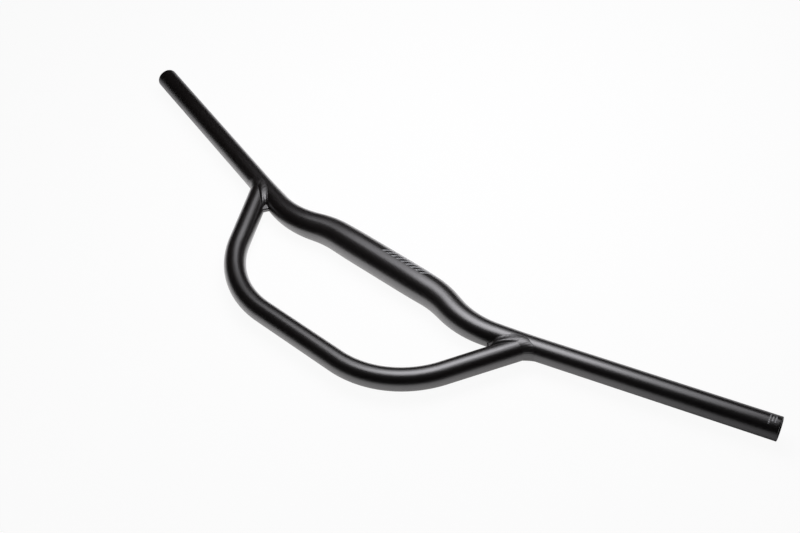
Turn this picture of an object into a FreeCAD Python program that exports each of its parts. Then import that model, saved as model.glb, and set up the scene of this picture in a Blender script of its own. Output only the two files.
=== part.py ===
"""Loop handlebar: a swaged, bent main tube with a second bent tube welded across its front.

The bar lies flat. X runs along the clamp to the rider's right, Y points forward to the loop and Z up.
The origin is the middle of the stem clamp. Lengths are in millimetres and angles in degrees.
"""
import FreeCAD, Part
import os
from math import atan2, ceil, cos, degrees, pi, radians, sin, sqrt, tan

# Main tube: diameters, walls and the line of its axis from the middle outwards
overall_width = 800.0           # between the centres of the two end faces
clamp_diameter = 31.8
grip_diameter = 22.2
clamp_wall = 2.8
grip_wall = 2.0
clamp_straight = 117.0          # straight run through the stem clamp, both halves together
kick_angle = 15.0               # first bend, forward
kick_bend_radius = 100.0
kick_straight = 7.0             # straight run between the two bends of one side
sweep_angle = 15.0              # the grips point this far back
sweep_bend_radius = 100.0
taper_start = 30.0              # along the axis from the middle, where the clamp diameter ends
taper_length = 160.0            # along the axis, from the clamp diameter down to the grip diameter
end_chamfer = 0.5               # broken edges at the two open ends

# Loop tube
loop_diameter = 22.0
loop_wall = 1.8
loop_reach = 118.0              # from the clamp's axis forward to the axis of the loop's front
loop_front_straight = 98.0
loop_corner_angle = 60.5
loop_bend_radius = 100.0

# Weld beads and the small plates in the two narrow corners
weld_leg_main = 5.5             # from the seam across the main tube
weld_leg_loop = 6.5             # from the seam along the loop tube
weld_fill = 0.7                 # share of the way from the seam to a flat line between the bead's edges
weld_rise = 0.85                # how far the dressed bead stands above that on top
weld_edge = 0.35                # height of the edge on the main tube on top
gusset_reach = 37.2             # from the crossing of the two axes to the plate's free edge
gusset_edge = 5.5               # thickness at the free edge
gusset_depth = 13.0             # from the free edge back into the bead
gusset_slope = 18.0             # each face falls by this angle towards the free edge

# Fineness of the lofted surfaces, and how far a cutter or a bead's root runs past a surface
bend_ring_spacing = 9.0
fewest_bend_spans = 3           # between the rings of one bend
longest_cone = 30.0             # a straight stretch of the taper is turned as a row of short cones
bead_sections = 13
overrun = 1.0
root_depth = 2.5
toe_depth = 0.2
chamfer_limit = 0.4             # largest share of the wall that a broken edge may take
seam_step = 0.5                 # degrees, for the direction of the seam
same_place = 0.01

ORIGIN = FreeCAD.Vector(0, 0, 0)
ACROSS = FreeCAD.Vector(1, 0, 0)
UP = FreeCAD.Vector(0, 0, 1)

clamp_radius = clamp_diameter / 2
grip_radius = grip_diameter / 2
loop_radius = loop_diameter / 2
kick = radians(kick_angle)
sweep = radians(sweep_angle)
corner = radians(loop_corner_angle)


def ahead(heading):
    """Unit vector along a heading in the bar's plane."""
    return FreeCAD.Vector(cos(heading), sin(heading), 0)


def left_of(heading):
    """Unit vector square to a heading, on its left, in the bar's plane."""
    return FreeCAD.Vector(-sin(heading), cos(heading), 0)


def advance(point, heading, length, turn):
    """Point and heading after one leg: a straight if turn is 0, otherwise an arc that turns left by it."""
    if turn == 0:
        return point + ahead(heading) * length, heading
    to_centre = length / turn
    centre = point + left_of(heading) * to_centre
    return centre - left_of(heading + turn) * to_centre, heading + turn


def along(point, heading, legs, distance):
    """Point and heading at a distance along a path of legs."""
    for length, turn in legs:
        if distance <= length:
            return advance(point, heading, distance, turn * distance / length)
        point, heading = advance(point, heading, length, turn)
        distance -= length
    return advance(point, heading, distance, 0)


def ring(radius, point, heading):
    """Round section of a tube, square to its heading. Every ring starts on the same side of the path."""
    wire = Part.Wire(Part.makeCircle(radius, ORIGIN, ACROSS))
    wire.rotate(ORIGIN, UP, degrees(heading))
    wire.translate(point)
    return wire


def rod_leg(radius, point, heading, length, turn):
    """Round rod along one leg: a cylinder, or a slice of a torus."""
    disc = Part.Face(ring(radius, point, heading))
    if turn == 0:
        return disc.extrude(ahead(heading) * length)
    centre = point + left_of(heading) * (length / turn)
    return disc.revolve(centre, UP * (turn / abs(turn)), degrees(abs(turn)))


def bent_rod(radius, point, heading, legs):
    """Round rod along a whole path of legs."""
    pieces = []
    for length, turn in legs:
        pieces.append(rod_leg(radius, point, heading, length, turn))
        point, heading = advance(point, heading, length, turn)
    return joined(pieces)


def joined(pieces):
    """One solid from pieces that share faces or overlap."""
    return pieces[0].multiFuse(pieces[1:]).removeSplitter()


def other_side(shape):
    """The same shape on the rider's left."""
    return shape.mirror(ORIGIN, ACROSS)


# Axis of the main tube's right half, from the middle of the clamp to the end of the grip
bend_legs = [
    (clamp_straight / 2, 0),
    (kick_bend_radius * kick, kick),
    (kick_straight, 0),
    (sweep_bend_radius * (kick + sweep), -(kick + sweep)),
]
bends_length = sum(length for length, turn in bend_legs)
grip_start, grip_heading = along(ORIGIN, 0, bend_legs, bends_length)
grip_run = (overall_width / 2 - grip_start.x) / cos(sweep)
half_legs = bend_legs + [(grip_run, 0)]
half_length = bends_length + grip_run
taper_end = taper_start + taper_length

# The side of the loop runs straight to the grip's axis: crossing is where the two axes meet
side_direction = ahead(-corner)
corner_start = FreeCAD.Vector(loop_front_straight / 2, loop_reach, 0)
side_start = advance(corner_start, 0, loop_bend_radius * corner, -corner)[0]
grip_normal = left_of(grip_heading)
side_run = (grip_start - side_start).dot(grip_normal) / side_direction.dot(grip_normal)
crossing = side_start + side_direction * side_run
crossing_distance = bends_length + (crossing - grip_start).dot(ahead(grip_heading))


def taper_share(distance):
    """0 in the clamp, 1 in the grip, and an even S-shaped change between."""
    share = min(max((distance - taper_start) / taper_length, 0), 1)
    return share * share * (3 - 2 * share)


def main_radius(distance):
    """Outer radius of the main tube at a distance from the middle."""
    return clamp_radius + (grip_radius - clamp_radius) * taper_share(distance)


def main_bore(distance):
    """Inner radius: the wall thins from the clamp to the grips as the diameter does."""
    return main_radius(distance) - clamp_wall - (grip_wall - clamp_wall) * taper_share(distance)


def bend_rate(distance):
    """How much the axis turns per millimetre at a distance from the middle: 0 on a straight leg."""
    for length, turn in half_legs:
        if distance <= length:
            return turn / length
        distance -= length
    return 0


def even_steps(begin, end, spans):
    """Evenly spaced distances, both ends included."""
    return [begin + (end - begin) * index / spans for index in range(spans + 1)]


def turned_stretch(radius_at, begin, end):
    """Straight tapered rod between two distances, turned as a row of short cones."""
    outline = [along(ORIGIN, 0, half_legs, begin)[0]]
    for place in even_steps(begin, end, ceil((end - begin) / longest_cone)):
        point, heading = along(ORIGIN, 0, half_legs, place)
        outline.append(point + left_of(heading) * radius_at(place))
    outline += [point, outline[0]]
    return Part.Face(Part.makePolygon(outline)).revolve(point, ahead(heading), 360)


def bent_stretch(radius_at, begin, end):
    """Bent tapered rod between two distances, a smooth skin over rings."""
    spans = ceil(max(fewest_bend_spans, (end - begin) / bend_ring_spacing))
    rings = []
    for place in even_steps(begin, end, spans):
        rings.append(ring(radius_at(place), *along(ORIGIN, 0, half_legs, place)))
    return Part.makeLoft(rings, True, False)


def main_stretch(radius_at, begin, end):
    """Rod of the main tube between two distances on one leg: even, turned or bent."""
    rate = bend_rate((begin + end) / 2)
    if radius_at(begin) == radius_at(end):
        start = along(ORIGIN, 0, half_legs, begin)
        return rod_leg(radius_at(begin), *start, end - begin, rate * (end - begin))
    if rate == 0:
        return turned_stretch(radius_at, begin, end)
    return bent_stretch(radius_at, begin, end)


def main_rod(radius_at, end_extra):
    """Solid rod along the whole main tube, its radius a function of the distance from the middle."""
    breaks = [0, taper_start, taper_end, half_length + end_extra]
    for count in range(1, len(half_legs)):
        breaks.append(sum(length for length, turn in half_legs[:count]))
    breaks.sort()
    right_half = []
    for begin, end in zip(breaks, breaks[1:]):
        if end - begin > same_place:
            right_half.append(main_stretch(radius_at, begin, end))
    return joined(right_half + [other_side(stretch) for stretch in right_half])


def make_main_tube(rod):
    """The tube with its bore, and its edges broken at both open ends."""
    tube = rod.cut(main_rod(main_bore, overrun))
    end_point = along(ORIGIN, 0, half_legs, half_length)[0]
    end_edges = []
    for edge in tube.Edges:
        middle = edge.CenterOfMass
        if (FreeCAD.Vector(abs(middle.x), middle.y, middle.z) - end_point).Length < same_place:
            end_edges.append(edge)
    return tube.makeChamfer(min(end_chamfer, chamfer_limit * grip_wall), end_edges)


def loop_rod(radius):
    """Solid rod along the whole loop, from one crossing of the axes to the other."""
    start = FreeCAD.Vector(-crossing.x, crossing.y, 0)
    bend = (loop_bend_radius * corner, -corner)
    legs = [(side_run, 0), bend, (loop_front_straight, 0), bend, (side_run, 0)]
    return bent_rod(radius, start, corner, legs)


# Directions at the right-hand crossing: along the grip, along the loop's side and to the narrow corner
grip_direction = ahead(grip_heading)
loop_direction = side_direction * -1
narrow_side = -grip_direction - loop_direction * (-grip_direction).dot(loop_direction)
narrow_side.normalize()
seam_radius = main_radius(crossing_distance)


def loop_outward(angle):
    """Unit vector out of the loop's side at an angle round it from the narrow corner."""
    return narrow_side * cos(angle) + UP * sin(angle)


def loop_surface(angle, run, lift):
    """Point at a lift above the loop's side: run goes along it from the crossing."""
    return crossing + loop_direction * run + loop_outward(angle) * (loop_radius + lift)


def main_outward(arc):
    """Unit vector out of the grip at an arc round it from its front."""
    turn = arc / seam_radius
    return grip_normal * cos(turn) + UP * sin(turn)


def main_surface(run, arc, lift):
    """Point at a lift above the grip: run goes along it from the crossing, arc round it from its front."""
    radius = main_radius(crossing_distance + run) + lift
    return crossing + grip_direction * run + main_outward(arc) * radius


def seam_run(angle):
    """How far along the loop's side one line of its surface meets the main tube."""
    height = loop_radius * sin(angle)
    flank = sqrt(max(seam_radius ** 2 - height ** 2, 0))
    lean = loop_radius * cos(angle) * narrow_side.dot(grip_normal)
    return (flank - lean) / loop_direction.dot(grip_normal)


def seam_unrolled(angle):
    """The same seam point on the main tube's surface, as run along it and arc round it."""
    point = loop_surface(angle, seam_run(angle), 0) - crossing
    return point.dot(grip_direction), seam_radius * atan2(point.z, point.dot(grip_normal))


def bead_section(angle):
    """Section of the weld bead at one place of the seam: a dished face, and two sides down to its root."""
    seam = loop_surface(angle, seam_run(angle), 0)
    run, arc = seam_unrolled(angle)
    step = radians(seam_step)
    run_before, arc_before = seam_unrolled(angle - step)
    run_after, arc_after = seam_unrolled(angle + step)
    length = sqrt((run_after - run_before) ** 2 + (arc_after - arc_before) ** 2)
    run_out = -(arc_after - arc_before) / length
    arc_out = (run_after - run_before) / length
    toe_run = run + weld_leg_main * run_out
    toe_arc = arc + weld_leg_main * arc_out
    proud = sin(angle)
    main_toe = main_surface(toe_run, toe_arc, -toe_depth)
    main_edge = main_surface(toe_run, toe_arc, weld_edge * proud - toe_depth / 2)
    loop_toe = loop_surface(angle, seam_run(angle) + weld_leg_loop, -toe_depth)
    outward = main_outward(arc) + loop_outward(angle)
    outward.normalize()
    root = seam - outward * root_depth
    chord_middle = (main_edge + loop_toe) * 0.5
    middle = seam + (chord_middle - seam) * weld_fill + outward * weld_rise * proud
    face = Part.BezierCurve()
    face.setPoles([main_edge, middle * 2 - chord_middle, loop_toe])
    sides = [(loop_toe, root), (root, main_toe), (main_toe, main_edge)]
    return Part.Wire([face.toShape()] + [Part.makeLine(begin, end) for begin, end in sides])


def make_weld(main, loop):
    """The bead right round the loop's end, cut to lie on both tubes."""
    angles = [pi * index / (bead_sections - 1) for index in range(bead_sections)]
    upper = Part.makeLoft([bead_section(angle) for angle in angles], True, False)
    lower = upper.mirror(ORIGIN, UP)
    return joined([upper, lower]).cut(main).cut(loop)


def make_gusset(main, loop, weld):
    """The small plate across the narrow corner, thinning towards its straight free edge."""
    halfway = loop_direction - grip_direction
    halfway.normalize()
    sideways = halfway.cross(UP)
    half_width = gusset_reach * tan(halfway.getAngle(loop_direction))
    half_edge = UP * (gusset_edge / 2)
    half_back = half_edge + UP * (gusset_depth * tan(radians(gusset_slope)))
    front = crossing + halfway * gusset_reach - sideways * half_width
    back = front - halfway * gusset_depth
    outline = [front + half_edge, back + half_back, back - half_back, front - half_edge, front + half_edge]
    plate = Part.Face(Part.makePolygon(outline)).extrude(sideways * (2 * half_width))
    return plate.cut(main).cut(loop).cut(weld)


def build():
    """Every piece of the handlebar by name."""
    main = main_rod(main_radius, 0)
    loop = loop_rod(loop_radius)
    right_weld = make_weld(main, loop)
    right_gusset = make_gusset(main, loop, right_weld)
    return {
        "main_tube": make_main_tube(main),
        "loop_tube": loop.cut(loop_rod(loop_radius - loop_wall)).cut(main),
        "welds": Part.makeCompound([right_weld, other_side(right_weld)]),
        "gussets": Part.makeCompound([right_gusset, other_side(right_gusset)]),
    }


os.makedirs("parts", exist_ok=True)
for name, shape in build().items():
    shape.exportStep(f"parts/{name}.step")
    print(name, "valid:", shape.isValid(), "solids:", len(shape.Solids), "mm3:", round(shape.Volume))
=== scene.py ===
# %% [markdown]
# # A loop handlebar in satin black
# A bicycle handlebar: one swaged and bent main tube, and a second tube bent into a loop and welded
# across its front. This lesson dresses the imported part. The frame comes first, because every piece is
# placed in it.

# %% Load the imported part
import bpy
import numpy as np
from mathutils import Matrix, Vector


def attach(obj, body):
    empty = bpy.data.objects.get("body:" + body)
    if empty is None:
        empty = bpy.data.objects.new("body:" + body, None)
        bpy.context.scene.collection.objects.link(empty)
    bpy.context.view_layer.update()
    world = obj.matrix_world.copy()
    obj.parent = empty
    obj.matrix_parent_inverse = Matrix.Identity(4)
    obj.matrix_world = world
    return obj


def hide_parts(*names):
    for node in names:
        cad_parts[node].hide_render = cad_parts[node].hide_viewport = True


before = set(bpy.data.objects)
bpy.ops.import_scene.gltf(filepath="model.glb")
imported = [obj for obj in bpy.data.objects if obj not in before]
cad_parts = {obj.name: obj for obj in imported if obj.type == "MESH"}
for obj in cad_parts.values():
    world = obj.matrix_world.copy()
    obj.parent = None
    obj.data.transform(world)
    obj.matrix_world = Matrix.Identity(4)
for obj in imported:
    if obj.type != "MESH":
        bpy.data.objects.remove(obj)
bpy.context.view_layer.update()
scene = bpy.context.scene
print("nodes of the frame:", sorted(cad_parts))

# %% [markdown]
# ## The sizes of the bar
# A tube is known by a few sizes: diameters, walls, and the straights and bends of its axis. They are
# the same as in the part's solids, written in millimetres and turned into metres by mm. All the tube
# axes lie in the plane Z = 0, with X to the rider's right and Y forward.

# %% Sizes
mm = 0.001
half_width = 400 * mm
clamp_radius = 15.9 * mm
grip_radius = 11.1 * mm
clamp_wall = 2.8 * mm
grip_wall = 2.0 * mm
taper_start = 30 * mm
taper_length = 160 * mm
clamp_straight = 117 * mm
kick_straight = 7 * mm
bend_radius = 100 * mm
kick = np.radians(15)
lip_rounding = 0.5 * mm

loop_radius = 11 * mm
loop_bore = 9.2 * mm
loop_reach = 118 * mm
loop_front = 98 * mm
loop_corner = np.radians(60.5)
UP = np.array([0.0, 0.0, 1.0])
MIRROR = np.array([-1, 1, 1])
print("bar", round(2 * half_width / mm), "mm wide, clamp", round(2 * clamp_radius / mm, 1), "mm across")

# %% [markdown]
# ## A path of straights and arcs
# A tube bender works in legs: go straight, then turn round a die of one radius. A curve object could
# hold such a path, but a formula gives every point and heading at once as arrays, which the surfaces
# below need.


# %% Follow a path
def left_of(heading):
    """Unit vectors square to the headings, on their left: minus the sine, the cosine, and no height."""
    return np.stack([-np.sin(heading), np.cos(heading), np.zeros_like(heading)], -1)


def ahead(heading):
    """Unit vectors along the headings: the cosine, the sine, and no height."""
    return np.stack([np.cos(heading), np.sin(heading), np.zeros_like(heading)], -1)


def follow(start, heading, legs, distance):
    """Points and headings at an array of distances along legs of (length, turn).

    On a straight, the point is the leg's start plus the distance run along the heading. On an arc, the
    centre lies length / turn to the left, and the point is the centre less that radius times the new left.
    """
    points = np.zeros(distance.shape + (3,))
    headings = np.zeros(distance.shape)
    begin = 0.0
    corner = np.array(start, float)
    for length, turn in legs:
        run = distance - begin
        here = run >= 0
        angle = heading + turn * run / length
        if turn == 0:
            place = corner + run[..., None] * ahead(angle)
            end = corner + length * ahead(np.array(heading))
        else:
            radius = length / turn
            centre = corner + radius * left_of(np.array(heading))
            place = centre - radius * left_of(angle)
            end = centre - radius * left_of(np.array(heading + turn))
        points[here] = place[here]
        headings[here] = angle[here]
        corner = end
        heading = heading + turn
        begin += length
    return points, headings


# %% [markdown]
# ## Where the two axes run
# The main axis is mirrored about the clamp: straight, a bend forward, a short straight, a bend back
# twice as far, and the grip. The loop's axis is a front straight with a bend and a straight side at
# each end. Where the side meets the grip's axis comes from two lines crossing, so the loop always ends
# on the main tube.

# %% The two axes
kick_legs = [(bend_radius * kick, kick), (kick_straight, 0), (2 * bend_radius * kick, -2 * kick)]
half_legs = [(clamp_straight / 2, 0)] + kick_legs
bends_length = sum(length for length, turn in half_legs)
grip_start = follow((0, 0, 0), 0.0, half_legs, np.array([bends_length]))[0][0]
grip_run = (half_width - grip_start[0]) / np.cos(kick)
half_length = bends_length + grip_run
main_start = grip_start * MIRROR - grip_run * ahead(np.array(kick))
main_legs = [(grip_run, 0)] + kick_legs[::-1] + [(clamp_straight, 0)] + kick_legs + [(grip_run, 0)]

side_start = np.array([loop_front / 2 + bend_radius * np.sin(loop_corner),
                       loop_reach - bend_radius * (1 - np.cos(loop_corner)), 0])
grip_ahead = ahead(np.array(-kick))
grip_normal = left_of(np.array(-kick))
side_ahead = ahead(np.array(-loop_corner))
side_run = (grip_start - side_start) @ grip_normal / (side_ahead @ grip_normal)
crossing = side_start + side_run * side_ahead
crossing_distance = bends_length + (crossing - grip_start) @ grip_ahead
loop_bend = (bend_radius * loop_corner, -loop_corner)
loop_legs = [(side_run, 0), loop_bend, (loop_front, 0), loop_bend, (side_run, 0)]
loop_length = sum(length for length, turn in loop_legs)
print("axes cross at", (crossing / mm).round(2), "mm; main axis", round(2 * half_length / mm), "mm long")

# %% [markdown]
# ## From a grid of points to a mesh
# A tube with its bore, or a bead laid in a ring, is one sheet that closes on itself in both directions,
# like the skin of a ring. So a piece is a grid of points whose rows and columns both wrap round, and no
# seam is left open. The signed volume says whether the faces look outwards, and they are turned if they
# don't.

# %% Mesh helpers
cubic_centimetre = (10 * mm) ** 3


def signed_volume(points, quads):
    """Volume inside closed quads: a sixth of each triangle's corner times the others' cross product."""
    a, b, c, d = (points[quads[:, k]] for k in range(4))
    return ((a * np.cross(b, c)).sum() + (a * np.cross(c, d)).sum()) / 6


def add_piece(name, points, quads, caps=()):
    """A smooth mesh object at the origin from points, quads and any end caps."""
    if signed_volume(points, quads) < 0:
        quads = quads[:, ::-1]
        caps = [cap[::-1] for cap in caps]
    mesh = bpy.data.meshes.new(name)
    mesh.from_pydata(points.tolist(), [], quads.tolist() + [list(cap) for cap in caps])
    mesh.polygons.foreach_set("use_smooth", np.ones(len(mesh.polygons), bool))
    mesh.update()
    piece = bpy.data.objects.new(name, mesh)
    scene.collection.objects.link(piece)
    volume = abs(signed_volume(points, quads)) / cubic_centimetre
    print(name, "has", len(mesh.polygons), "faces and holds", round(volume, 3), "cm3")
    return piece


def wrapped_quads(rows, columns):
    """Quads of a grid in which the last row joins the first, and the last column the first."""
    number = np.arange(rows * columns).reshape(rows, columns)
    below = np.roll(number, -1, axis=0)
    corners = [number, below, np.roll(below, -1, axis=1), np.roll(number, -1, axis=1)]
    return np.stack(corners, -1).reshape(-1, 4)


def with_mirror(right, quads):
    """Points and quads of a right-hand shape and of its mirror image, whose quads run the other way."""
    points = np.concatenate([right, right * MIRROR])
    return points, np.concatenate([quads, quads[:, ::-1] + len(right)])


# %% [markdown]
# ## The main tube
# The real tube is swaged: hammered down from a thick middle to thin grips, with its wall thinned on the
# way, and then bent. A spin or a loft would do for a straight one. Here a profile of (distance, radius)
# pairs goes out along the skin, round the lip of the open end, back through the bore and round the
# other lip, and every pair of it becomes one ring square to the bent axis.


# %% Diameters along the main tube
def taper_share(distance):
    """0 in the clamp, 1 in the grip, and between them three squares less two cubes of the way."""
    share = np.clip((distance - taper_start) / taper_length, 0, 1)
    return share * share * (3 - 2 * share)


def main_radius(distance):
    """Outer radius at a distance from the middle: the clamp's, less a share of what the grip lacks."""
    return clamp_radius + (grip_radius - clamp_radius) * taper_share(distance)


def main_bore(distance):
    """Inner radius: the outer one less a wall that thins with the taper."""
    return main_radius(distance) - clamp_wall - (grip_wall - clamp_wall) * taper_share(distance)


print("radius where the axes cross:", round(main_radius(crossing_distance) / mm, 2), "mm")


# %% Main tube
def lip(end, inner, outer, rounding, steps=6):
    """Profile round an open end that points ahead: a quarter circle, a flat ring and a quarter circle."""
    turn = np.linspace(0, np.pi / 2, steps)
    root = end - rounding
    first = np.stack([root + rounding * np.sin(turn), outer - rounding * (1 - np.cos(turn))], -1)
    second = np.stack([root + rounding * np.cos(turn), inner + rounding * (1 - np.sin(turn))], -1)
    return np.concatenate([first, second])


def rings(centres, headings, radii, angles):
    """Rings round an axis: the centre plus the radius times left by the cosine and up by the sine."""
    reach = left_of(headings)[..., None, :] * np.cos(angles)[:, None] + UP * np.sin(angles)[:, None]
    return centres[..., None, :] + radii[..., None, None] * reach


def make_main_tube(spacing=2.0 * mm, around=112):
    """The closed profile of skin, lip, bore and lip, carried along the bent axis."""
    length = 2 * half_length
    stations = np.linspace(0, length, round(length / spacing) + 1)
    inside = stations[(stations > lip_rounding) & (stations < length - lip_rounding)]
    skin = np.stack([inside, main_radius(abs(inside - half_length))], -1)
    bore = np.stack([inside, main_bore(abs(inside - half_length))], -1)[::-1]
    right_lip = lip(length, grip_radius - grip_wall, grip_radius, lip_rounding)
    left_lip = right_lip[::-1] * [-1, 1] + [length, 0]
    profile = np.concatenate([skin, right_lip, bore, left_lip])
    centres, headings = follow(main_start, kick, main_legs, profile[:, 0])
    angles = np.linspace(0, 2 * np.pi, around, endpoint=False)
    grid = rings(centres, headings, profile[:, 1], angles)
    return add_piece("bar_main_tube", grid.reshape(-1, 3), wrapped_quads(*grid.shape[:2]))


main_tube = make_main_tube()

# %% [markdown]
# ## The loop tube
# This tube is bent twice and its two ends are coped, cut to a saddle that sits on the main tube. A
# boolean would make that cut, but it leaves untidy faces. Where a line of the tube's skin meets the
# main tube has a formula, so each line of the grid simply starts and stops at its own distance.

# %% Loop tube
seam_radius = main_radius(crossing_distance)
loop_ahead = -side_ahead
narrow_side = -grip_ahead + loop_ahead * (grip_ahead @ loop_ahead)
narrow_side = narrow_side / np.linalg.norm(narrow_side)
cope_depth = 0.3 * mm


def seam_run(angle, radius):
    """How far from the crossing a line of the loop's skin meets the main tube.

    The main tube's flank at the line's height is the root of its radius squared less the height squared.
    From it comes off what the line's offset already covers, and the rest is divided by the loop's slant.
    """
    flank = np.sqrt(seam_radius ** 2 - (radius * np.sin(angle)) ** 2)
    return (flank - radius * np.cos(angle) * (narrow_side @ grip_normal)) / (loop_ahead @ grip_normal)


def make_loop_tube(spacing=1.5 * mm, around=112):
    """Skin from cope to cope and the bore back, each line stretched along the sides to its own cope."""
    angles = np.linspace(0, 2 * np.pi, around, endpoint=False)
    side_steps = np.linspace(0, 1, round(side_run / spacing))
    bent_length = loop_length - 2 * side_run
    bent = np.linspace(side_run, loop_length - side_run, round(bent_length / spacing))[1:-1]
    sheets = []
    for radius in (loop_radius, loop_bore):
        cope = seam_run(np.pi - angles, radius) - cope_depth
        first = cope + (side_run - cope) * side_steps[:, None]
        middle = np.broadcast_to(bent[:, None], (len(bent), around))
        distance = np.concatenate([first, middle, loop_length - first[::-1]])
        centres, headings = follow(crossing * MIRROR, loop_corner, loop_legs, distance)
        reach = left_of(headings) * np.cos(angles)[:, None] + UP * np.sin(angles)[:, None]
        sheets.append(centres + radius * reach)
    grid = np.concatenate([sheets[0], sheets[1][::-1]])
    return add_piece("bar_loop_tube", grid.reshape(-1, 3), wrapped_quads(*grid.shape[:2]))


loop_tube = make_loop_tube()

# %% [markdown]
# ## Places on the two skins
# The weld lies on both tubes, so it needs both skins. A place on the loop is a run along its side and
# an angle round it, with 0 degrees in the narrow corner and 180 in the wide one. A place on the main
# tube is a run along it and an arc round it. There the seam is unrolled, as on a paper pattern wrapped
# round the tube, because square to the seam is easy to find on flat paper.

# %% Places on the two skins
seam_step = np.radians(0.5)


def out_of_loop(angle):
    """Unit vectors out of the loop's side: to the narrow corner by the angle's cosine, up by its sine."""
    return narrow_side * np.cos(angle)[..., None] + UP * np.sin(angle)[..., None]


def on_loop(angle, run, lift):
    """Point at a lift above the loop's side: along it by run, and round it by the angle."""
    return crossing + loop_ahead * run[..., None] + out_of_loop(angle) * (loop_radius + lift)


def out_of_main(arc):
    """Unit vectors out of the main tube at an arc round it from its front."""
    turn = arc[..., None] / seam_radius
    return grip_normal * np.cos(turn) + UP * np.sin(turn)


def on_main(run, arc, lift):
    """Point at a lift above the main tube: along it by run, and round it from its front by arc."""
    radius = main_radius(crossing_distance + run) + lift
    return crossing + grip_ahead * run[..., None] + radius[..., None] * out_of_main(arc)


def unrolled_seam(angle):
    """The seam on the main tube's skin laid flat: run along the tube, and arc round it."""
    place = on_loop(angle, seam_run(angle, loop_radius), 0) - crossing
    return place @ grip_ahead, seam_radius * np.arctan2(place[..., 2], place @ grip_normal)


def away_from_seam(angle):
    """Unit directions square to the unrolled seam: the step from just before to just after, turned."""
    run_after, arc_after = unrolled_seam(angle + seam_step)
    run_before, arc_before = unrolled_seam(angle - seam_step)
    run_step, arc_step = run_after - run_before, arc_after - arc_before
    length = np.hypot(run_step, arc_step)
    return -arc_step / length, run_step / length


# %% [markdown]
# ## The weld beads
# A bead of weld lies right round each coped end. It is laid as a row of overlapping puddles, and on a
# bar like this it is then dressed with a file until it flows into the tubes. A boolean with a bevel
# could round the corner, but only with one radius all the way. A real bead changes as it goes round: it
# reaches further along the loop beside the narrow corner, is drawn in on top, and is a round fillet in
# the wide corner. So its width is a sum of smooth humps over the angle.

# %% Width of the bead
weld_leg_main = 5.5 * mm
weld_leg_loop = 6.5 * mm
weld_fill = 0.7
spread_leg = 3.5 * mm
spread_middle, spread_half = np.radians(60), np.radians(68)
dip_leg = 2.7 * mm
dip_middle, dip_half = np.radians(97), np.radians(32)
trim_leg = 1.5 * mm
wide_leg = 2.0 * mm
wide_fill = 0.5
wide_half = np.radians(85)
hump_power = 1.5


def hump(angle, middle, half):
    """1 at the middle and 0 from half on: one less the square of the way out, raised to a power."""
    return np.clip(1 - ((angle - middle) / half) ** 2, 0, 1) ** hump_power


def bead_legs(angle):
    """The bead's legs along the loop and over the main tube, and how full it is, each a sum of humps."""
    wide = hump(angle, np.pi, wide_half)
    loop_leg = weld_leg_loop + spread_leg * hump(angle, spread_middle, spread_half) - trim_leg * wide
    main_leg = weld_leg_main + wide_leg * wide - dip_leg * hump(angle, dip_middle, dip_half)
    return loop_leg, main_leg, weld_fill + (wide_fill - weld_fill) * wide


wide_legs = np.array(bead_legs(np.pi)[:2]) / mm
print("bead's legs in the wide corner:", wide_legs.round(2), "mm")

# %% [markdown]
# ## The bead's face
# Between its two edges, the toes, the face is a parabola: dished in the two corners, and a little proud
# above and below the bar's plane. A low ridge that leans to the loop swells it beside the narrow
# corner. The ripples that the file left are small. They are real shape here and not bump, because they
# catch the light.

# %% Weld beads
weld_rise = 0.85 * mm
weld_edge = 0.35 * mm
toe_depth = 0.2 * mm
ripple_height = 0.07 * mm
ripple_count = 34
ripple_mean = 0.64
ripple_gain = 6.8
ridge_height = 1.6 * mm
ridge_middle, ridge_half = np.radians(45), np.radians(45)
ridge_lean = 2.0
ridge_roundness = 1.4


def bead_swell(angle, folded, way):
    """Height over the parabola: ripples, strongest at a third of the way, and a leaning ridge.

    A ripple is the size of a cosine less its mean, times the way and the square of what is left of the way.
    The ridge is one less a power of the distance between one and twice a power of the way.
    """
    ripple = ripple_height * (np.abs(np.cos(ripple_count / 2 * angle)) - ripple_mean)
    ridge = ridge_height * hump(folded, ridge_middle, ridge_half)
    ridge_shape = 1 - np.abs(2 * way ** ridge_lean - 1) ** ridge_roundness
    return ripple * ripple_gain * (1 - way) ** 2 * way + ridge * ridge_shape


def weld_grid(around=360, across=25, under=6):
    """Bead as a closed strip: a parabola from toe to toe, then back along the loop and the main tube."""
    angle = np.linspace(0, 2 * np.pi, around, endpoint=False)
    folded = np.pi - np.abs(np.pi - angle)
    seam = seam_run(angle, loop_radius)
    run, arc = unrolled_seam(angle)
    out_run, out_arc = away_from_seam(angle)
    loop_leg, main_leg, fill = bead_legs(folded)
    proud = np.abs(np.sin(angle))
    share = np.linspace(0, 1, under)[:, None]
    all_round = np.broadcast_to(angle, (under, around))
    loop_floor = on_loop(all_round, seam + loop_leg * (1 - share), -toe_depth)
    main_floor = on_main(run + main_leg * share * out_run, arc + main_leg * share * out_arc, -toe_depth)
    edge_lift = weld_edge * proud - toe_depth / 2
    main_toe = on_main(run + main_leg * out_run, arc + main_leg * out_arc, edge_lift)
    loop_toe = loop_floor[0]
    outward = out_of_main(arc) + out_of_loop(angle)
    outward = outward / np.linalg.norm(outward, axis=-1, keepdims=True)
    corner = on_loop(angle, seam, 0)
    chord_middle = (main_toe + loop_toe) / 2
    middle = corner + fill[:, None] * (chord_middle - corner) + outward * (weld_rise * proud)[:, None]
    way = np.linspace(0, 1, across)[:, None]
    t = way[..., None]
    face = (1 - t) ** 2 * main_toe + 2 * t * (1 - t) * (2 * middle - chord_middle) + t ** 2 * loop_toe
    face = face + outward * bead_swell(angle, folded, way)[..., None]
    return np.concatenate([face[:-1], loop_floor, main_floor[1:]])


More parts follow.
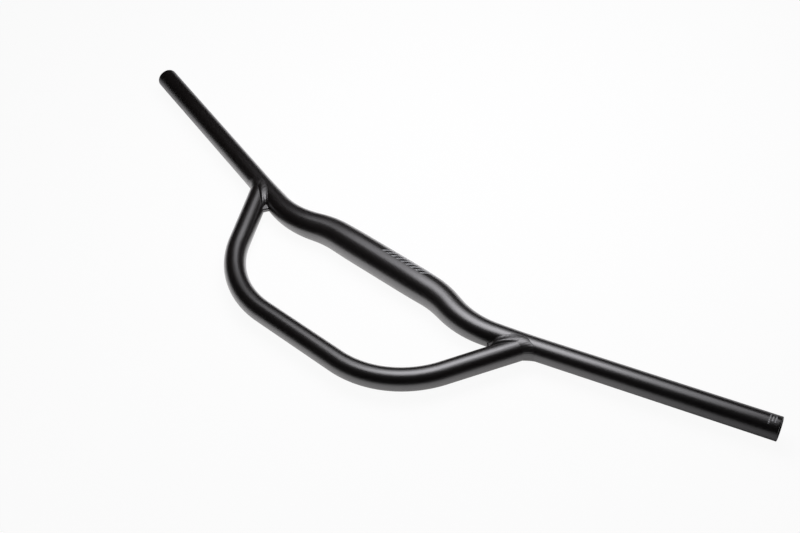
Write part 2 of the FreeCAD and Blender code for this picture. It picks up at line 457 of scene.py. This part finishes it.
def make_welds():
    """The right bead and its mirror image on the left, as one piece."""
    grid = weld_grid()
    quads = wrapped_quads(*grid.shape[:2])
    return add_piece("bar_welds", *with_mirror(grid.reshape(-1, 3), quads))


welds = make_welds()

# %% [markdown]
# ## The gussets
# In the narrow corner between the tubes sits a small plate that stiffens it. Its faces slope to a
# straight free edge with rounded corners, and its two ends disappear into the tubes. A bevelled cube
# would stand off the round skins. So the plate is an outline of depth and height, carried from one tube
# to the other, and each of its lines ends just below the two skins.

# %% Gussets
gusset_reach = 37.2 * mm
gusset_depth = 13 * mm
gusset_half_edge = 2.75 * mm
gusset_slope = np.tan(np.radians(18))
gusset_rounding = 2.0 * mm
gusset_sink = 0.6 * mm


def plate_outline(steps=12):
    """Closed outline in depth and height: sloping faces, and a free edge rounded above and below."""
    turn = np.linspace(np.arctan(gusset_slope), np.pi / 2, steps)
    round_depth = gusset_reach - gusset_rounding * (1 - np.sin(turn))
    round_height = gusset_half_edge - gusset_rounding * (1 - np.cos(turn))
    depth = np.linspace(gusset_reach - gusset_depth, round_depth[0], steps)[:-1]
    height = round_height[0] + (round_depth[0] - depth) * gusset_slope
    top = np.stack([np.append(depth, round_depth), np.append(height, round_height)], -1)
    return np.concatenate([top, top[::-1] * [1, -1]])


def room_beside(depth, height, half_angle, radius):
    """From the line halfway between the tubes across to a tube's skin, and a little into it.

    The tube's axis lies the depth times the half angle's sine away. From it comes off the tube's flank at
    that height, and the rest is divided by the half angle's cosine, because the way across is slanted.
    """
    flank = np.sqrt(radius ** 2 - height ** 2) - gusset_sink
    return (depth * np.sin(half_angle) - flank) / np.cos(half_angle)


def make_gussets(across=16):
    """Each outline point slides across: from just below the loop's skin to just below the main tube's."""
    depth, height = plate_outline().T
    halfway = loop_ahead - grip_ahead
    halfway = halfway / np.linalg.norm(halfway)
    half_angle = np.arccos(halfway @ loop_ahead)
    sideways = np.cross(UP, halfway)
    sideways = sideways * np.sign(sideways @ loop_ahead)
    main_here = main_radius(crossing_distance - depth * np.cos(half_angle))
    to_loop = room_beside(depth, height, half_angle, loop_radius)
    to_main = room_beside(depth, height, half_angle, main_here)
    share = np.linspace(0, 1, across)[:, None]
    offset = to_loop * (1 - share) - to_main * share
    grid = crossing + halfway * depth[:, None] + sideways * offset[..., None] + UP * height[:, None]
    rows, columns = grid.shape[:2]
    quads = wrapped_quads(rows, columns)[:(rows - 1) * columns]
    ends = [np.arange(columns)[::-1], np.arange(columns) + (rows - 1) * columns]
    caps = ends + [end[::-1] + rows * columns for end in ends]
    return add_piece("bar_gussets", *with_mirror(grid.reshape(-1, 3), quads), caps)


gussets = make_gussets()

# %% [markdown]
# ## Shader maths as expressions
# A finish is a small sum: where a mark lies, how rough the grain is. Wiring Math nodes by hand hides
# that sum, so a small class wraps a socket, and plus, minus and times add the nodes.


# %% A socket that can be reckoned with
class Wire:
    """One output of a node tree. Operators on it add Math nodes, and node() adds any other node."""

    def __init__(self, tree, socket=None):
        self.tree = tree
        self.socket = socket

    def node(self, kind, settings=None, inputs=None, output=0):
        """Add a node: set its settings first, then its sockets by value or by link. Returns one output."""
        added = self.tree.nodes.new(kind)
        for key, value in (settings or {}).items():
            setattr(added, key, value)
        for key, value in (inputs or {}).items():
            if isinstance(value, Wire):
                self.tree.links.new(value.socket, added.inputs[key])
            else:
                added.inputs[key].default_value = value
        return Wire(self.tree, added.outputs[output] if added.outputs else None)

    def math(self, operation, *values):
        """Math node on the values, in the order given."""
        return self.node("ShaderNodeMath", {"operation": operation}, dict(enumerate(values)))

    def __add__(self, other):
        return self.math("ADD", self, other)

    __radd__ = __add__

    def __sub__(self, other):
        return self.math("SUBTRACT", self, other)

    def __rsub__(self, other):
        return self.math("SUBTRACT", other, self)

    def __mul__(self, other):
        return self.math("MULTIPLY", self, other)

    __rmul__ = __mul__

    def __abs__(self):
        return self.math("ABSOLUTE", self)

    def within(self, half, soft):
        """1 where the value lies within half of nought, 0 outside, with a soft edge."""
        return self.node("ShaderNodeMath", {"operation": "DIVIDE", "use_clamp": True},
                         {0: half + soft / 2 - abs(self), 1: soft})

    def fade(self, begin, end):
        """1 up to begin, 0 from end on, and a smooth step between them."""
        return self.node("ShaderNodeMapRange", {"interpolation_type": "SMOOTHSTEP"},
                         {"Value": self, "From Min": begin, "From Max": end, "To Min": 1.0, "To Max": 0.0})

    def dot(self, direction):
        """Length of a vector along a direction."""
        return self.node("ShaderNodeVectorMath", {"operation": "DOT_PRODUCT"},
                         {0: self, 1: tuple(direction)}, output="Value")

    def tint(self, first, second):
        """Colour between two others, with this value as the share of the second."""
        return self.node("ShaderNodeMix", {"data_type": "RGBA"},
                         {"Factor": self, "A": first, "B": second}, output="Result")


def new_material(name):
    """An empty node material and a wire to start from."""
    material = bpy.data.materials.new(name)
    material.use_nodes = True
    material.node_tree.nodes.clear()
    return material, Wire(material.node_tree)


# %% [markdown]
# ## Satin black
# The tubes are blasted with fine beads and anodised black. The oxide is a clear glassy skin over black,
# so the finish is nearly black beneath a wide, soft gloss. One fine noise is the blasted grain: it
# tilts the surface and varies its colour and gloss. A second, slow one keeps a metre of tube from
# looking drawn.

# %% Satin black
black = (0.0036, 0.0024, 0.0022, 1)
worn_black = (0.0068, 0.0054, 0.0052, 1)
etched_grey = (0.48, 0.49, 0.50, 1)
oxide_ior = 1.85
satin_roughness = 0.30
etched_roughness = 0.2
grain_per_metre, grain_detail = 2600, 2.0
grain_gloss, grain_tilt = 0.10, 0.25
grain_depth = 0.02 * mm
cloud_per_metre, cloud_detail = 22, 3.0
cloud_gloss = 0.05


def satin_black(name, marks=None, roughness=satin_roughness, depth=grain_depth):
    """Black oxide with a blasted grain; marks gives a mask of etched lines from the Object coordinates."""
    material, wire = new_material(name)
    place = wire.node("ShaderNodeTexCoord", output="Object")
    grain = wire.node("ShaderNodeTexNoise",
                      inputs={"Vector": place, "Scale": grain_per_metre, "Detail": grain_detail})
    cloud = wire.node("ShaderNodeTexNoise",
                      inputs={"Vector": place, "Scale": cloud_per_metre, "Detail": cloud_detail})
    colour = grain.tint(black, worn_black)
    gloss = roughness + (grain - 0.5) * grain_gloss + (cloud - 0.5) * cloud_gloss
    if marks:
        mask = marks(place)
        colour = mask.tint(colour, etched_grey)
        gloss = gloss + mask * etched_roughness
    bump = wire.node("ShaderNodeBump", inputs={"Strength": grain_tilt, "Distance": depth, "Height": grain})
    shader = wire.node("ShaderNodeBsdfPrincipled",
                       inputs={"Base Color": colour, "Roughness": gloss, "Normal": bump, "IOR": oxide_ior})
    wire.node("ShaderNodeOutputMaterial", inputs={"Surface": shader})
    return material


# %% [markdown]
# ## Hatching on the clamp
# A laser turns the black oxide pale. On the back of the clamp it has hatched slanted bars. An image
# could hold them, but a pattern worked out from the Object coordinates, the place along the tube and
# the angle round it, stays sharp at any distance.

# %% Hatching on the clamp
hatch_first = 1.0 * mm
hatch_pitch = 6.1 * mm
hatch_bars = 9
hatch_from = np.radians(98)
hatch_to = np.radians(150)
hatch_slant = 13.5 * mm
hatch_share = 0.52
bar_half = 1.25 * mm
bar_edge = 0.4 * mm
bar_end = 0.03


def clamp_hatch(place):
    """Slanted bars: the place along the clamp less a share of the angle repeats at the pitch."""
    along = place.dot((-1, 0, 0)) + hatch_first
    turn = place.math("ARCTAN2", place.dot((0, 0, 1)), place.dot((0, 1, 0)))
    slanted = along - (turn - hatch_from) * hatch_slant
    strip = hatch_pitch * hatch_bars
    bars = slanted.math("PINGPONG", slanted, hatch_pitch / 2).within(bar_half, bar_edge)
    in_strip = (slanted - (strip - hatch_pitch) / 2).within(strip / 2, bar_edge)
    in_height = (turn - (hatch_from + hatch_to) / 2).within((hatch_to - hatch_from) / 2, bar_end)
    return bars * in_strip * in_height * hatch_share


# %% [markdown]
# ## Ticks beside the left end
# Three short rows of ticks help to trim the bar. Each row is a narrow band round the grip, given by its
# inset from the end and by the angles between which it runs, and the band is cut into ticks.

# %% Ticks beside the left end
tick_rows = [(9.8 * mm, 61, 117), (7.2 * mm, 75, 108), (4.7 * mm, 73, 108)]
tick_pitch = 1.1 * mm
tick_half_width = 0.3 * mm
tick_half_length = 0.65 * mm
tick_edge = 0.15 * mm
row_edge = 0.2 * mm
row_end = 0.02


def trim_ticks(place):
    """Bands at the rows' insets and angles, times ticks that repeat along the arc round the grip."""
    outward = grip_ahead * MIRROR
    front = grip_normal * MIRROR
    inset = outward @ main_start - place.dot(outward)
    turn = place.math("ARCTAN2", place.dot(UP), place.dot(front) - front @ main_start)
    arc = turn * grip_radius
    ticks = arc.math("PINGPONG", arc, tick_pitch / 2).within(tick_half_width, tick_edge)
    rows = 0
    for row_inset, low, high in tick_rows:
        band = (inset - row_inset).within(tick_half_length, row_edge)
        middle, half = np.radians((low + high) / 2), np.radians((high - low) / 2)
        rows = rows + band * (turn - middle).within(half, row_end)
    return rows * ticks


def main_marks(place):
    """All the etched marks of the main tube."""
    return clamp_hatch(place) + trim_ticks(place)


# %% [markdown]
# ## Three blacks
# The main tube carries the marks, and the loop and the gussets are plain. The beads have a deeper grain
# and less gloss than the tubes, so they get a black of their own from the same function.

# %% Three blacks
weld_roughness = 0.36
weld_grain_depth = 0.05 * mm
tube_black = satin_black("satin_black_marked", main_marks)
loop_black = satin_black("satin_black")
weld_black = satin_black("satin_black_weld", roughness=weld_roughness, depth=weld_grain_depth)
print("materials:", tube_black.name, loop_black.name, weld_black.name)

# %% [markdown]
# ## Each piece on its body
# The bar has no moving parts, so every piece rides on the one body. Each piece stands for the solid of
# the same name, which is hidden, and the piece and the solid are given the same finish.

# %% Ride, replace and dress
dressing = [
    (main_tube, "main_tube", "black_tube", tube_black),
    (loop_tube, "loop_tube", "black_tube", loop_black),
    (gussets, "gussets", "black_tube", loop_black),
    (welds, "welds", "black_weld", weld_black),
]
for piece, node, slot, material in dressing:
    piece.data.materials.append(material)
    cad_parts[node].data.materials.clear()
    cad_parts[node].data.materials.append(material)
    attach(piece, "root")
    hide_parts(node)
    print(piece.name, "stands for", node)

# %% [markdown]
# ## The floor
# The bar lies on a wide white sweep. To the camera the floor is white, with a little of its real
# shading kept, so the bar still darkens it where it lies. In the bar's gloss the floor also glows with a
# painted pool of light, an emission bright in the middle and fading outwards, because the undersides of
# the tubes grow darker towards the ends. An evenly white floor would light them alike from end to end.

# %% Floor
floor_gap = 0.2 * mm
floor_height = -clamp_radius - floor_gap
floor_half = 30.0
# Where the floor's painted pool of light is brightest, and the radii over which it fades out
pool_centre = np.array([60, 60, 0]) * mm + UP * floor_height
pool_inner, pool_outer = 60 * mm, 540 * mm
pale_paint = (0.9, 0.9, 0.9, 1)
warm_white = (1.0, 0.98, 0.975, 1)
pure_white = (1, 1, 1, 1)
no_light = (0, 0, 0, 1)
white_share = 0.94


def ray_kinds(wire):
    """1 for a ray from the camera, off a gloss and through glass: three outputs of one Light Path node."""
    outputs = wire.node("ShaderNodeLightPath").socket.node.outputs
    kinds = ("Is Camera Ray", "Is Glossy Ray", "Is Transmission Ray")
    return [Wire(wire.tree, outputs[kind]) for kind in kinds]


def white_sweep():
    """Paint plus a painted pool of light that glows only in reflections, mixed with plain white where the
    camera looks at it.
    """
    material, wire = new_material("white_sweep")
    seen, glossy, through = ray_kinds(wire)
    place = wire.node("ShaderNodeTexCoord", output="Object")
    offset = wire.node("ShaderNodeVectorMath", {"operation": "DISTANCE"},
                       {0: place, 1: tuple(pool_centre)}, output="Value")
    # Painted pool of light: the floor glows warm white round the pool's centre, fading to nothing at its
    # outer radius, only for rays off the bar's gloss and through glass
    painted_pool_glow = ((glossy + through) * offset.fade(pool_inner, pool_outer)).tint(no_light, warm_white)
    paint = wire.node("ShaderNodeBsdfDiffuse", inputs={"Color": pale_paint})
    pool = wire.node("ShaderNodeEmission", inputs={"Color": painted_pool_glow, "Strength": 1.0})
    lit = wire.node("ShaderNodeAddShader", inputs={0: paint, 1: pool})
    white = wire.node("ShaderNodeEmission", inputs={"Color": pure_white, "Strength": 1.0})
    mixed = wire.node("ShaderNodeMixShader", inputs={0: seen * white_share, 1: lit, 2: white})
    wire.node("ShaderNodeOutputMaterial", inputs={"Surface": mixed})
    return material


def make_floor():
    """A wide square just below the clamp: half its side along and across, at the floor's height."""
    corners = floor_half * np.array([[-1, -1, 0], [1, -1, 0], [1, 1, 0], [-1, 1, 0]]) + UP * floor_height
    mesh = bpy.data.meshes.new("floor")
    mesh.from_pydata(corners.tolist(), [], [(0, 1, 2, 3)])
    mesh.materials.append(white_sweep())
    floor = bpy.data.objects.new("floor", mesh)
    scene.collection.objects.link(floor)
    print("floor", round(floor_height / mm, 1), "mm from the clamp's axis")


make_floor()

# %% [markdown]
# ## The light
# Two soft boxes hang over the bar. A wide one behind it gives the sheen along the tubes, and a smaller,
# brighter one brings up the middle. A point lamp would leave hard glints, and an area light gives the
# soft edge that satin shows. The room is dark, so that black stays black, but at the horizon it is as
# white as the sweep.

# %% Light
# Each box: its place and its size in mm, and its radiance
soft_boxes = {
    "wide_box": ((72, -255, 506), (738, 553), 1.85),
    "bright_box": ((28, -70, 504), (298, 400), 4.0),
}
cool_white = (1.0, 0.985, 1.03)
room_grey = 0.006
sweep_top = 0.05


def make_soft_box(name, place, size, radiance):
    """An area light that looks straight down: its power is the radiance times pi times its area."""
    lamp = bpy.data.lights.new(name, "AREA")
    lamp.shape = "RECTANGLE"
    lamp.size, lamp.size_y = (side * mm for side in size)
    lamp.color = cool_white
    lamp.energy = radiance * np.pi * lamp.size * lamp.size_y
    box = bpy.data.objects.new(name, lamp)
    box.location = Vector(place) * mm
    box.visible_camera = False
    scene.collection.objects.link(box)
    print(name, "of", round(lamp.energy, 2), "W")


def make_room():
    """A dark room, white to the camera; reflections see white fade from the horizon to the sweep's top."""
    scene.world = bpy.data.worlds.new("room")
    scene.world.use_nodes = True
    tree = scene.world.node_tree
    tree.nodes.clear()
    wire = Wire(tree)
    seen, glossy, through = ray_kinds(wire)
    height = wire.node("ShaderNodeTexCoord", output="Generated").dot(UP)
    white = seen + (glossy + through) * height.fade(0.0, sweep_top)
    shade = room_grey + white.math("MINIMUM", white, 1.0) * (1 - room_grey)
    light = wire.node("ShaderNodeBackground", inputs={"Color": shade, "Strength": 1.0})
    wire.node("ShaderNodeOutputWorld", inputs={"Surface": light})


for name, (place, size, radiance) in soft_boxes.items():
    make_soft_box(name, place, size, radiance)
make_room()

# %% [markdown]
# ## The camera
# The camera stands where the photograph was taken: its heading, tilt, roll and distance were fitted to
# the outline of the bar. A tracking constraint would keep it level, so a matrix made of its three axes
# turns it, and that holds the roll too.

# %% Camera
camera_heading = 0.82491
camera_tilt = 0.81028
camera_roll = 0.12308
camera_distance = 1268.439 * mm
camera_aim = np.array([-16.028, -6.595, 0.0]) * mm
camera_lens = 58.5
camera_sensor = 36
camera_sees_to = 200


def make_camera():
    """A camera that looks at the aim from its heading, tilt and distance, rolled about its sight line."""
    forward = np.array([np.cos(camera_tilt) * np.sin(camera_heading),
                        -np.cos(camera_tilt) * np.cos(camera_heading), -np.sin(camera_tilt)])
    level = np.cross(forward, UP)
    level = level / np.linalg.norm(level)
    down = np.cross(forward, level)
    right = level * np.cos(camera_roll) + down * np.sin(camera_roll)
    below = down * np.cos(camera_roll) - level * np.sin(camera_roll)
    data = bpy.data.cameras.new("camera")
    data.sensor_width = camera_sensor
    data.lens = camera_lens
    data.clip_end = camera_sees_to
    camera = bpy.data.objects.new("camera", data)
    turn = Matrix(np.stack([right, -below, -forward], 1).tolist()).to_4x4()
    camera.matrix_world = Matrix.Translation(Vector(camera_aim - forward * camera_distance)) @ turn
    scene.collection.objects.link(camera)
    scene.camera = camera
    print("camera at", (np.array(camera.matrix_world.translation) / mm).round(1), "mm")


make_camera()
scene.view_settings.view_transform = "Standard"

# %% [markdown]
# ## The end
# The dressed bar must keep the size of the solids. The script ends by bringing the view layer up to date.

# %% Finish
bpy.context.view_layer.update()
